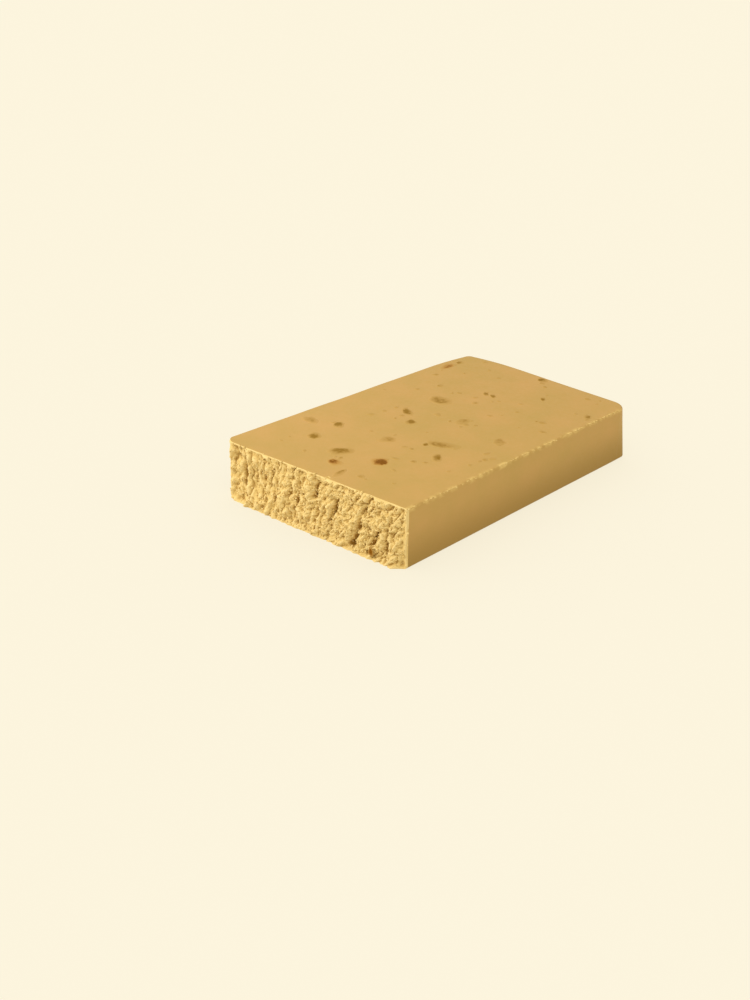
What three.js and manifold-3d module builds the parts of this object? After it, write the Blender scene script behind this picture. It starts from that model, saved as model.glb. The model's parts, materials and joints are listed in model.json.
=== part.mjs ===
// Soft almond nougat: one slab with its near end broken off and almond bits showing in its top.
// Millimetres, +Z up. X runs across the slab and Y along it, with the broken end at -Y.
// The origin is in the middle of the underside of the slab's box.

import Module from 'manifold-3d';
import * as THREE from 'three';
import { ImprovedNoise } from 'three/addons/math/ImprovedNoise.js';
import { mergeVertices } from 'three/addons/utils/BufferGeometryUtils.js';

// Slab: sizes of its top face, its thickness and its edges
const TOP_WIDTH = 80;
const LEFT_LENGTH = 128.4; // -X edge of the top, from the far end to the break
const RIGHT_LENGTH = 117.4; // +X edge of the top, where more was broken off
const HEIGHT = 21.5;
const SIDE_FLARE = 0.1; // the foot stands this far outside the long edges of the top
const END_FLARE = 1.2; // the foot stands this far past the far edge of the top
const EDGE_RADIUS = 0.8;
const EDGE_STEPS = 3;
const SIDE_WEAR = { depth: 2, reach: 22 }; // wear of the -X edge towards the far -X corner
const END_WEAR = { depth: 2.9, reach: 24 }; // wear of the far edge towards the same corner
const TIP_BLUNTNESS = 2; // the corner's tip is rounded over this distance
const RIGHT_CORNER = 6; // radius of the far +X corner
const RIGHT_CORNER_SPREAD = 2; // the foot of the far +X corner is this much fuller than its top
const CORNER_STEPS = 10;

// Break: a craggy face that leans out to its foot, but less at its -X edge and not at its +X edge
const BREAK_LEAN = 2.7; // the foot of the break stands this far past its top edge
const UPRIGHT_REACH = 4; // the lean fades out over this distance from the +X edge
const WORN_REACH = 16; // it grows weaker over this distance from the -X edge
const WORN_LEAN = 0.4; // down to this share
const BREAK_CORNER = 5.5; // radius of the break's worn -X edge, seen from above
const CRAG_PITCH = 0.72; // spacing of the points on the craggy face
const RIM_WIDTH = 1.5; // smoother band along the edges of the break
const FOOT_RELIEF = 0.15; // share of the relief that is left along the foot of the break
const CRAG_SINK = 1; // the crumb lies this far behind the rim on average
const STREAK_WIDTH = 3.4; // upright tear streaks
const STREAK_LENGTH = 10;
const STREAK_DEPTH = 1.2;
const STREAK_LEAN = 0.5; // slope of the streaks at the +X end, upright at the -X end
const CLUMP_SIZE = 4.4; // rounded clumps of crumb with creases between them
const CLUMP_HEIGHT = 1.7;
const CRUMB_SIZE = 1.8;
const CRUMB_DEPTH = 0.6;
const NOISE_LAYERS = { streaks: 0.5, clumps: 3.5, crumbs: 8.5 };
const CUTTER_MARGIN = 1.3; // the cutter stands this far outside the slab
const CUTTER_DEPTH = 12;

// Main creases of the break, each between two points given by distance from the -X edge and height
const CREASES = [
  { from: [10.8, 19.5], to: [10.3, 7], width: 1.2, depth: 1.2 },
  { from: [16, 15], to: [15.8, 9.5], width: 1, depth: 0.9 },
  { from: [19.8, 19], to: [19.4, 12], width: 1.1, depth: 1.3 },
  { from: [26.3, 14.7], to: [26, 10.5], width: 1, depth: 0.9 },
  { from: [26, 7.5], to: [25, 2.5], width: 1.2, depth: 1.2 },
  { from: [32.8, 16.7], to: [31.7, 11], width: 1.6, depth: 1.4 },
  { from: [37.4, 17.8], to: [33.8, 6], width: 1.2, depth: 1.4 },
  { from: [36, 5.3], to: [35.8, 2], width: 1.1, depth: 1.6 },
  { from: [43.5, 18.7], to: [42.5, 13.4], width: 1.6, depth: 1.5 },
  { from: [44, 8.8], to: [43.5, 4.5], width: 1.2, depth: 1.4 },
  { from: [52.2, 15], to: [49.6, 7.5], width: 1.4, depth: 2 },
  { from: [63.8, 17.6], to: [59.2, 1.5], width: 1.5, depth: 1.9 },
  { from: [69.7, 18.6], to: [69.5, 16.5], width: 1.1, depth: 1.2 },
  { from: [68.8, 9.2], to: [67, 4], width: 1.3, depth: 1.9 },
  { from: [72.7, 11.7], to: [73, 1], width: 1, depth: 0.8 },
];

// Hollows that pulled-out crumb left in the break, by distance from the -X edge and height
const HOLLOWS = [
  { across: 10.5, up: 8, radius: 2, depth: 1.6 },
  { across: 52, up: 13.5, radius: 2.2, depth: 1 },
  { across: 59.5, up: 2.5, radius: 2, depth: 1 },
  { across: 64, up: 15, radius: 2.6, depth: 1.1 },
  { across: 69, up: 7.5, radius: 1.8, depth: 0.8 },
];

// Almond bits that show in the top, by distance from the -X edge and from the far end
const TOP_BITS = [
  { across: 19.5, along: 103.5, length: 4.5, width: 3.5, turn: -35 },
  { across: 18.5, along: 91, length: 4, width: 3.5, turn: -75 },
  { across: 35.5, along: 105, length: 6, width: 5, turn: 55 },
  { across: 40.5, along: 112, length: 4, width: 3.5, turn: -35 },
  { across: 50.5, along: 101, length: 5, width: 4.5, turn: 25 },
  { across: 27, along: 64.5, length: 5.5, width: 2.5, turn: -25 },
  { across: 34.5, along: 70.5, length: 3.5, width: 3, turn: -70 },
  { across: 39.5, along: 87, length: 4.5, width: 3.5, turn: 50 },
  { across: 47.5, along: 116, length: 5.5, width: 2, turn: -80 },
  { across: 8, along: 95.5, length: 5, width: 3, turn: 5 },
  { across: 28, along: 47.5, length: 6.5, width: 5.5, turn: 0 },
  { across: 37.5, along: 30, length: 5, width: 2, turn: -40 },
  { across: 47, along: 56.5, length: 5, width: 3.5, turn: -75 },
  { across: 56, along: 76, length: 9, width: 3.5, turn: 25 },
  { across: 61.5, along: 85, length: 4.5, width: 2.5, turn: -50 },
  { across: 5, along: 19, length: 6, width: 4, turn: -75 },
  { across: 67.5, along: 60, length: 4, width: 3, turn: -35 },
  { across: 41.5, along: 3, length: 3.5, width: 3, turn: -20 },
  { across: 75.5, along: 20, length: 3.5, width: 2, turn: -55 },
];
const BIT_RISE = 0.25; // bits stand this far above the top
const BIT_SINK = 0.06; // the widest line of a bit lies this far under the top
const BIT_SIDES = 7;
const BIT_RINGS = 4;

// Smaller bits strewn over the top by a seeded rule
const SMALL_BITS = { count: 22, seed: 41, least: 1.4, most: 2.6, slimmest: 0.5, edgeGap: 4, bitGap: 5 };

// One bit of almond skin sits low in the break
const BREAK_BIT = { across: 68, up: 2.5, length: 3, width: 2.2, rise: 1 };

const NOUGAT = new THREE.MeshStandardMaterial({ color: 0xcfa75f, roughness: 0.5, metalness: 0 });

const wasm = await Module();
wasm.setup();
const noise = new ImprovedNoise();

// Turn a closed geometry into a solid that can be joined and cut
function toSolid(geometry) {
  geometry.deleteAttribute('normal');
  geometry.deleteAttribute('uv');
  const merged = mergeVertices(geometry);
  return new wasm.Manifold(new wasm.Mesh({
    numProp: 3,
    vertProperties: Float32Array.from(merged.attributes.position.array),
    triVerts: Uint32Array.from(merged.index.array),
  }));
}

// Turn a solid back into a geometry
function toGeometry(solid) {
  const mesh = solid.getMesh();
  const geometry = new THREE.BufferGeometry();
  geometry.setAttribute('position', new THREE.BufferAttribute(mesh.vertProperties, mesh.numProp));
  geometry.setIndex(new THREE.BufferAttribute(mesh.triVerts, 1));
  return geometry;
}

// Move every point of a geometry by a function that changes it in place
function reshape(geometry, change) {
  const points = geometry.attributes.position;
  const point = new THREE.Vector3();
  for (let i = 0; i < points.count; i += 1) {
    point.fromBufferAttribute(points, i);
    change(point);
    points.setXYZ(i, point.x, point.y, point.z);
  }
}

// Share of the flare and the lean that is reached at a height: none at the top, all at the foot
function footShare(z) {
  return 1 - z / HEIGHT;
}

// How far a worn edge lies back at a distance from the tip of its corner
function wornDepth(wear, fromTip) {
  return wear.depth * (1 - fromTip / wear.reach) ** 2;
}

// Smooth slab before it is broken, from an outline that reaches past the break, flared to its foot
function slabSolid() {
  const half = TOP_WIDTH / 2;
  const near = -LEFT_LENGTH - CUTTER_DEPTH / 2;
  const tip = new THREE.Vector2(SIDE_WEAR.depth - half, -END_WEAR.depth);
  const outline = new THREE.Shape();
  outline.moveTo(-half, near);
  outline.lineTo(half, near);
  outline.absarc(half - RIGHT_CORNER, -RIGHT_CORNER, RIGHT_CORNER, 0, Math.PI / 2);
  outline.lineTo(tip.x + END_WEAR.reach, 0);
  outline.quadraticCurveTo(
    tip.x + (END_WEAR.reach + TIP_BLUNTNESS) / 2,
    0,
    tip.x + TIP_BLUNTNESS,
    -wornDepth(END_WEAR, TIP_BLUNTNESS),
  );
  outline.quadraticCurveTo(tip.x, tip.y, wornDepth(SIDE_WEAR, TIP_BLUNTNESS) - half, tip.y - TIP_BLUNTNESS);
  outline.quadraticCurveTo(
    -half,
    tip.y - (SIDE_WEAR.reach + TIP_BLUNTNESS) / 2,
    -half,
    tip.y - SIDE_WEAR.reach,
  );
  outline.closePath();
  const geometry = new THREE.ExtrudeGeometry(outline, {
    depth: HEIGHT - 2 * EDGE_RADIUS,
    curveSegments: CORNER_STEPS,
    bevelThickness: EDGE_RADIUS,
    bevelSize: EDGE_RADIUS,
    bevelOffset: -EDGE_RADIUS,
    bevelSegments: EDGE_STEPS,
  });
  geometry.translate(0, 0, EDGE_RADIUS);
  reshape(geometry, (point) => {
    const intoX = Math.max(0, 1 + (point.x - half) / RIGHT_CORNER);
    const intoY = Math.max(0, 1 + point.y / RIGHT_CORNER);
    const spread = RIGHT_CORNER_SPREAD * Math.SQRT1_2 * (2 * intoX * intoY) ** 3;
    const share = footShare(point.z);
    point.x += share * (spread + (SIDE_FLARE * point.x) / half);
    point.y += share * (spread + END_FLARE);
  });
  return toSolid(geometry);
}

// Place of the break along Y before it is made craggy
function breakPlane(x, z) {
  const fromLeft = TOP_WIDTH / 2 + x;
  const length = THREE.MathUtils.lerp(LEFT_LENGTH, RIGHT_LENGTH, fromLeft / TOP_WIDTH);
  const fromUpright = THREE.MathUtils.smoothstep(TOP_WIDTH - fromLeft, 0, UPRIGHT_REACH);
  const fromWorn = THREE.MathUtils.smoothstep(fromLeft, 0, WORN_REACH);
  const lean = BREAK_LEAN * fromUpright * THREE.MathUtils.lerp(WORN_LEAN, 1, fromWorn);
  const intoCorner = THREE.MathUtils.clamp(1 - fromLeft / BREAK_CORNER, 0, 1);
  const rounding = BREAK_CORNER * (1 - Math.sqrt(1 - intoCorner ** 2));
  return rounding - length - lean * footShare(z);
}

// Distance from a point of the break to the nearer side of the slab
function distanceToSide(x, z) {
  return TOP_WIDTH / 2 + SIDE_FLARE * footShare(z) - Math.abs(x);
}

// Share of the full relief at a point: none on the sides and the top edge, a little along the foot
function reliefShare(x, z) {
  const fromEdges = THREE.MathUtils.smoothstep(Math.min(distanceToSide(x, z), HEIGHT - z), 0, RIM_WIDTH);
  const fromWornEdge = THREE.MathUtils.smoothstep(TOP_WIDTH / 2 + x, 0, BREAK_CORNER);
  const fromFoot = THREE.MathUtils.smoothstep(z, 0, RIM_WIDTH);
  return fromEdges * fromWornEdge * THREE.MathUtils.lerp(FOOT_RELIEF, 1, fromFoot);
}

// How far the creases and hollows take a point of the break inwards
function sunkDepth(x, z) {
  const place = new THREE.Vector3(x + TOP_WIDTH / 2, z, 0);
  let depth = 0;
  for (const crease of CREASES) {
    const line = new THREE.Line3(new THREE.Vector3(...crease.from, 0), new THREE.Vector3(...crease.to, 0));
    const nearest = line.closestPointToPoint(place, true, new THREE.Vector3());
    depth += crease.depth * (1 - THREE.MathUtils.smoothstep(place.distanceTo(nearest), 0, crease.width));
  }
  for (const hollow of HOLLOWS) {
    const away = Math.hypot(place.x - hollow.across, z - hollow.up);
    depth += hollow.depth * (1 - THREE.MathUtils.smoothstep(away, 0, hollow.radius));
  }
  return depth;
}

// How far a point of the break lies behind its plane
function cragDepth(x, z) {
  const lean = STREAK_LEAN * THREE.MathUtils.smoothstep(x, -TOP_WIDTH / 2, TOP_WIDTH / 2);
  const streaks = noise.noise((x - lean * z) / STREAK_WIDTH, z / STREAK_LENGTH, NOISE_LAYERS.streaks);
  const clumps = Math.abs(noise.noise(x / CLUMP_SIZE, z / CLUMP_SIZE, NOISE_LAYERS.clumps));
  const crumbs = noise.noise(x / CRUMB_SIZE, z / CRUMB_SIZE, NOISE_LAYERS.crumbs);
  const relief = CRAG_SINK + STREAK_DEPTH * streaks - CLUMP_HEIGHT * clumps + CRUMB_DEPTH * crumbs;
  return reliefShare(x, z) * (relief + sunkDepth(x, z));
}

// Craggy block that takes away what was broken off
function breakCutter() {
  const width = TOP_WIDTH + 2 * (SIDE_FLARE + CUTTER_MARGIN);
  const height = HEIGHT + 2 * CUTTER_MARGIN;
  const columns = Math.round(width / CRAG_PITCH);
  const rows = Math.round(height / CRAG_PITCH);
  const back = -LEFT_LENGTH - CUTTER_DEPTH;
  const geometry = new THREE.BoxGeometry(width, CUTTER_DEPTH, height, columns, 1, rows);
  geometry.translate(0, 0, HEIGHT / 2);
  reshape(geometry, (point) => {
    const craggy = point.y > 0;
    point.y = craggy ? breakPlane(point.x, point.z) + cragDepth(point.x, point.z) : back;
  });
  return toSolid(geometry);
}

// Low angular lens, the shape of a chopped almond bit, lying flat with its middle at the origin
function bitGeometry(length, width, rise) {
  const geometry = new THREE.SphereGeometry(1, BIT_SIDES, BIT_RINGS);
  geometry.rotateX(Math.PI / 2);
  geometry.scale(length / 2, width / 2, rise);
  return geometry;
}

// Bit of the top, turned and set into the face
function topBitSolid(bit) {
  const geometry = bitGeometry(bit.length, bit.width, BIT_RISE + BIT_SINK);
  geometry.rotateZ(THREE.MathUtils.degToRad(bit.turn));
  geometry.translate(bit.across - TOP_WIDTH / 2, -bit.along, HEIGHT - BIT_SINK);
  return toSolid(geometry);
}

// Bit of the break, standing upright in the craggy face
function breakBitSolid(bit) {
  const x = bit.across - TOP_WIDTH / 2;
  const geometry = bitGeometry(bit.width, bit.length, bit.rise);
  geometry.rotateX(Math.PI / 2);
  geometry.translate(x, breakPlane(x, bit.up) + cragDepth(x, bit.up), bit.up);
  return toSolid(geometry);
}

// Small bits of the top, each clear of the edges and of the bits before it
function strewSmallBits() {
  const draw = (low, high) => THREE.MathUtils.lerp(low, high, THREE.MathUtils.seededRandom());
  THREE.MathUtils.seededRandom(SMALL_BITS.seed);
  const bits = [];
  while (bits.length < SMALL_BITS.count) {
    const length = draw(SMALL_BITS.least, SMALL_BITS.most);
    const bit = {
      across: draw(SMALL_BITS.edgeGap, TOP_WIDTH - SMALL_BITS.edgeGap),
      along: draw(SMALL_BITS.edgeGap, RIGHT_LENGTH - SMALL_BITS.edgeGap),
      length,
      width: length * draw(SMALL_BITS.slimmest, 1),
      turn: draw(-90, 90),
    };
    const near = (other) => Math.hypot(bit.across - other.across, bit.along - other.along);
    if ([...TOP_BITS, ...bits].every((other) => near(other) > SMALL_BITS.bitGap)) {
      bits.push(bit);
    }
  }
  return bits;
}

// The slab as one solid, centred over its box with its foot at zero height
function nougatGeometry() {
  let solid = slabSolid().subtract(breakCutter());
  for (const bit of [...TOP_BITS, ...strewSmallBits()]) {
    solid = solid.add(topBitSolid(bit));
  }
  solid = solid.add(breakBitSolid(BREAK_BIT));
  const geometry = toGeometry(solid);
  geometry.computeBoundingBox();
  const middle = geometry.boundingBox.getCenter(new THREE.Vector3());
  geometry.translate(-middle.x, -middle.y, 0);
  geometry.computeVertexNormals();
  return geometry;
}

const nougatSlab = new THREE.Mesh(nougatGeometry(), NOUGAT);
nougatSlab.name = 'nougat_slab';

const nougat = new THREE.Group();
nougat.add(nougatSlab);

export default nougat;
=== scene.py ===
"""Soft almond nougat slab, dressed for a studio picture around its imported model."""

import json
import math
import random

import bmesh
import bpy
from mathutils import Matrix, Vector, kdtree, noise
from mathutils.bvhtree import BVHTree

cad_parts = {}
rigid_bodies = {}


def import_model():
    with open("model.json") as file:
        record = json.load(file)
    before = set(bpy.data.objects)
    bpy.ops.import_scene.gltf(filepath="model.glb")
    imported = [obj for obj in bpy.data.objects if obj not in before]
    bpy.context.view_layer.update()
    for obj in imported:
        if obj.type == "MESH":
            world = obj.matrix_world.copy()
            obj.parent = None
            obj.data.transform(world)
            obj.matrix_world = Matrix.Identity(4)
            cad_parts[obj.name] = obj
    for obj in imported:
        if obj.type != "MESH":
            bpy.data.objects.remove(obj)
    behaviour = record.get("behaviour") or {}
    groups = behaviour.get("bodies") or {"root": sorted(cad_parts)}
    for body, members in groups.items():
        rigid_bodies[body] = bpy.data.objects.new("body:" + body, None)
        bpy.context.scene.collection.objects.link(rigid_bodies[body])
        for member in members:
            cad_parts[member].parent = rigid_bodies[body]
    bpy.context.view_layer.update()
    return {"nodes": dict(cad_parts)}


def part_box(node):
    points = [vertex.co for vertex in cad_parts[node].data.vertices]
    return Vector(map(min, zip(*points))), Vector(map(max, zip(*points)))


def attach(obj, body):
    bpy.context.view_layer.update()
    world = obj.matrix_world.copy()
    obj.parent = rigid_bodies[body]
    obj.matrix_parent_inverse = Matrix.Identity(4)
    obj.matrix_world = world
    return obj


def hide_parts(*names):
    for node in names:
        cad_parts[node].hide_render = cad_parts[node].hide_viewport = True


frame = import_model()

bl_info = {
    "name": "Soft almond nougat",
    "version": (1, 0, 0),
    "blender": (4, 5, 0),
    "location": "3D View > Sidebar > Nougat",
    "description": "Builds a slab of soft almond nougat with a broken end, and its studio",
    "category": "Object",
}

SLAB_NODE = "nougat_slab"
BODY = "root"
MM = 0.001
LOW, HIGH = (Vector(corner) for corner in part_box(SLAB_NODE))
UP = Vector((0, 0, 1))
INTO_BREAK = Vector((0, 1, 0))

# Almond bits that show in the top: distance from the -X edge, distance from the far end, length and
# width in millimetres, turn in degrees, and how strongly the bit shows through its film of paste
FLESH_BITS = [
    (19.5, 103.5, 4.5, 3.5, -35, 0.9),
    (18.5, 91, 4, 3.5, -75, 0.85),
    (35.5, 105, 6.5, 5.2, 55, 0.8),
    (27, 64.5, 6, 2.9, -25, 0.85),
    (34.5, 70.5, 3.5, 3, -70, 0.95),
    (39.5, 87, 5, 3.8, 50, 0.45),
    (47.5, 116, 5.5, 2, -80, 0.45),
    (8, 95.5, 5.5, 3.5, 5, 0.45),
    (28, 47.5, 7, 6, 0, 0.58),
    (35.5, 30.5, 3, 1.8, -45, 0.8),
    (39, 30, 3, 1.8, -40, 0.7),
    (47, 56.5, 5, 3.5, -75, 0.4),
    (51.5, 80, 2.3, 1.8, -50, 0.85),
    (56, 76, 9.5, 4, 25, 0.5),
    (61.5, 85, 4.5, 2.5, -50, 0.8),
    (5.5, 12.5, 3, 2.5, -70, 0.6),
    (67.5, 60, 4.5, 3.5, -35, 0.45),
    (54, 18.5, 3, 1.6, -45, 0.8),
    (41.5, 3, 3.5, 3, -20, 0.9),
    (75.5, 20, 3.5, 2, -55, 0.55),
]
# Bits that show their skin, in the same terms
SKIN_BITS = [
    (50.5, 101, 5, 4.5, 25, 1.1),
    (40.5, 112, 4.4, 3.8, -35, 0.7),
    (5, 19, 6, 4, -75, 0.55),
]
# Bit of almond skin low in the break: distance from the -X edge, height, length and width in
# millimetres, and how strongly it shows
BREAK_SKIN_BIT = (68, 2.6, 2.6, 1.8, 1.1)

# Small faint bits strewn over the top: their number, their distance from the side edges, the far end
# and the break, and their least and greatest length in millimetres, width for length and strength
SMALL_BIT_COUNT = 70
SMALL_BIT_FROM_SIDES = 3
SMALL_BIT_FROM_END = 4
SMALL_BIT_FROM_BREAK = 2
SMALL_BIT_LENGTHS = (0.9, 2.4)
SMALL_BIT_SLIMNESS = (0.45, 0.9)
SMALL_BIT_STRENGTHS = (0.15, 0.4)

# Half the thickness of an almond bit in the top and in the break, and how deep the first is set, in
# millimetres
TOP_BIT_RISE = 0.16
TOP_BIT_SINK = 0.04
BREAK_BIT_RISE = 0.35
# Outline of an almond bit: its size for the size that shows, how much it varies, the broad and fine
# waves of that, by their number in half a width, and the weight of the fine ones
BIT_SWELL = 1.42
BIT_UNEVENNESS = 0.45
BIT_BROAD_WAVES = 1.3
BIT_FINE_WAVES = 3
BIT_FINE_WEIGHT = 0.5
# Film of paste over an almond bit: place and strength of the barest spot, what is lost away from it,
# the fading there and at the rim, and the height under which nothing is bare, with lengths in shares of
# half a width
BARE_SPOT_OFFSET = 0.35
BARE_SPOT_STRENGTH = 1.15
BARE_SPOT_LOSS = 0.7
BARE_SPOT_FADE = (0.1, 1.1)
RIM_FADE = (0.0, 0.5)
HIDDEN_UNDER = -0.2

# Seeds of the random draws, and the step between the seeds of two bits
BREAK_CRUMB_SEED = 7
BURR_SEED = 11
SMALL_BIT_SEED = 5
BIT_SEED_STEP = 3.7
BREAK_BIT_SEED = 1.0

# Layer of noise for each pattern, so that no pattern repeats another
LAYERS = {
    "lumps": 2.0,
    "strands": 3.3,
    "bend across": 4.0,
    "granules": 6.0,
    "grains": 11.0,
    "bend up": 13.0,
    "liveliness": 15.0,
    "worn stretches": 21.0,
    "worn nicks": 22.0,
    "tatters": 27.0,
    "worn marks": 33.0,
}

# Textures of the materials: widths, depths and heights in millimetres
CLOUD_SIZE = 16
# The next two heights bound the painted shade that darkens the pressed paste towards the foot
FOOT_SHADE_FROM = -2
FOOT_SHADE_TO = 18
PRESSED_GRAIN = 1.1
PRESSED_GRAIN_DEPTH = 0.08
BROKEN_GRAIN = 0.4
BROKEN_GRAIN_DEPTH = 0.15
FILM_PATCH = 1.1
# Middle range of a noise texture, spread over a whole change of colour or gloss
NOISE_LOW = 0.3
NOISE_HIGH = 0.7
# Least and greatest roughness of the pressed paste
GLOSSIEST = 0.42
DULLEST = 0.56
# Share of painted crevice shade at which the broken paste has its plain colour, painted paler on standing
# tips before and painted browner in crevices after
PLAIN_CRUMB = 0.4
# How far an almond bit shows where its rim colour is full, and where its core colour begins and is full
RIM_FULL = 0.6
CORE_BEGINS = 0.35
CORE_FULL = 0.85
# Strength of an almond bit under the thick and the thin patches of its film
UNDER_THICK_FILM = 0.6
UNDER_THIN_FILM = 1.3
# Index of refraction of oily paste and nuts, close to that of almond oil
PASTE_IOR = 1.45
# Share of light that the floor's white sheet returns
FLOOR_WHITE = 0.93
# Sockets of a Mix node for its two colours, and for their blend
MIX_FIRST = 6
MIX_SECOND = 7
MIX_BLEND = 2

# Pressed block: facets of its roundings, then the width of its waves and the height at which they are
# full, in millimetres
TIP_FACETS = 8
CORNER_FACETS = 10
EDGE_FACETS = 4
WAVE_LENGTH = 18
WAVE_FOOT = 2

# Worn +X top edge: length of its worn stretches and of the nicks in them, width and length of the
# ragged marks at their ends, in millimetres, and the weight of the nicks
WORN_STRETCH = 5
WORN_NICK = 1.7
WORN_MARK_WIDTH = 0.6
WORN_MARK_LENGTH = 0.9
NICK_WEIGHT = 0.7
# How far the wear reaches, in shares of the given reach: its middle, its change and its fading
REACH_MIDDLE = 0.75
REACH_CHANGE = 0.5
REACH_FADE = (0.7, 1.3)
# How strong the wear is: its middle, its change by stretches and by marks, and the range that shows
WEAR_MIDDLE = 0.55
WEAR_BY_STRETCH = 0.7
WEAR_BY_MARK = 0.5
WEAR_RANGE = (0.2, 0.9)

# Cutting of the break: spare length of the block, margin of the sheet past the slab, reach of the
# cutter and start of a ray before the slab, and farthest crag from the break's plane, in millimetres
SPARE_LENGTH = 6
SHEET_MARGIN = 1
CUTTER_REACH = 14
RAY_START = 10
FARTHEST_CRAG = 8
# Angle from which an edge round the break is shaded crisp
CRISP_ANGLE = math.radians(40)
# Rounds of smoothing for the model's crags, and for the even face that the painted crevice shade is
# measured from
CRAG_ROUNDS = 5
CREVICE_ROUNDS = 30

# Crumb of the break: folds that bend it, patches of livelier crumb, and where it coarsens from the -X
# edge, in millimetres
BEND_SIZE = 2.4
BEND_REACH = 0.9
LIVELY_SIZE = 6
COARSE_FROM = 15
COARSE_TO = 50
# Smoother rim of the break: length of its waves in millimetres, how much they change its width, its
# width as a share of the worn corner, the bare share of its width at the +X edge, and the share of its
# width that counts at the foot
RIM_WAVE = 2.5
RIM_UNEVENNESS = 0.7
CORNER_RIM = 0.8
BARE_SIDE_RIM = 0.3
FOOT_RIM = 0.6
# Length for width of each kind of crumb
LUMP_STRETCH = 1.4
GRANULE_STRETCH = 1.2
TATTER_STRETCH = 1.3
# Reach of a dome from its middle, middle level of domes and of strands, and the height of strands for
# the height of their noise
DOME_REACH = 0.8
DOME_LEVEL = 0.7
STRAND_LEVEL = 0.4
STRAND_GAIN = 2
# Fractal of the tatters: how fast its octaves weaken, the step between them and their number
TATTER_FALL = 0.7
TATTER_STEP = 2.0
TATTER_OCTAVES = 4
# Strength of strands, tatters and grains at the -X edge, for 1 where the crumb is coarse, and how much
# patches change the grains
LEFT_STRANDS = 1.7
LEFT_TATTERS = 0.5
LEFT_LIVELINESS = 0.3
PATCH_LIVELINESS = 0.7
# Depths in millimetres over which a crevice is painted darker as painted shade, below its neighbours and
# below the break's plane, and the weight of either
NEIGHBOUR_RANGE = (-0.3, 0.35)
PLANE_RANGE = (0.8, 3)
NEIGHBOUR_WEIGHT = 0.8
PLANE_WEIGHT = 0.4

# Loose crumbs: how far their corners stand in or out, and the least upright part of the axis they turn on
CRUMB_CORNERS = (0.75, 1.2)
LEAST_AXIS = 0.1
# Crumbs on the break: how far they stay from its worn corner and its foot, in shares of the corner and
# of a crumb, how far a face has to look forwards, how seldom a crumb is large, its height over the
# face and its tone, drawn at random as a share of the painted crevice shade
CRUMB_FROM_CORNER = 0.6
CRUMB_FROM_FOOT = 0.6
CRUMB_FACING = 0.3
CRUMB_SMALLNESS = 3
CRUMB_HEIGHT = 0.15
CRUMB_TONES = (0.0, 0.5)
# Burr on the +X top edge: width of a crumb for the smallest, length and thickness for its width, place
# from the edge in shares of the rounding's inset, scatter in millimetres, the wear that a crumb needs
# and its tone, drawn at random as a share of the painted crevice shade
BURR_WIDTHS = (0.8, 1.6)
BURR_LENGTHS = (1, 2)
BURR_THICKNESS = 0.3
BURR_INSET = 1.5
BURR_DROP = 0.5
BURR_SCATTER = 0.25
BURR_NEEDS = (0.3, 0.8)
BURR_TONES = (0.1, 0.5)


def linear(hex_colour):
    """Linear red, green and blue of an sRGB colour such as "#cfa75f"."""
    shares = (int(hex_colour[i : i + 2], 16) / 255 for i in (1, 3, 5))
    return tuple(s / 12.92 if s <= 0.04045 else ((s + 0.055) / 1.055) ** 2.4 for s in shares)


def clamped(value):
    """Value held between 0 and 1."""
    return min(max(value, 0.0), 1.0)


def smooth_step(value, low, high):
    """0 below low, 1 above high and a smooth rise between."""
    share = clamped((value - low) / (high - low))
    return share * share * (3 - 2 * share)


def blend(first, second, share):
    """Value between two others, the first at no share and the second at a full one."""
    return first + (second - first) * share


def edge_rounding(distance, radius):
    """How far a rounded edge lies back at a distance from the edge."""
    share = clamped(1 - distance / radius)
    return radius * (1 - math.sqrt(1 - share**2))


def length_property(name, description, millimetres):
    """Property for a size, kept in metres."""
    return bpy.props.FloatProperty(
        name=name, description=description, default=millimetres * MM, min=0.0, precision=5, unit="LENGTH"
    )


def angle_property(name, description, degrees):
    """Property for an angle, kept in radians."""
    return bpy.props.FloatProperty(
        name=name, description=description, default=math.radians(degrees), precision=3, subtype="ANGLE"
    )


def share_property(name, description, default):
    """Property for a plain number."""
    return bpy.props.FloatProperty(name=name, description=description, default=default, precision=3)


def count_property(name, description, default):
    """Property for a number of things."""
    return bpy.props.IntProperty(name=name, description=description, default=default)


def colour_property(name, description, hex_colour):
    """Property for a colour, kept in linear light."""
    return bpy.props.FloatVectorProperty(
        name=name, description=description, default=linear(hex_colour), min=0.0, max=1.0, subtype="COLOR"
    )


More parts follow.
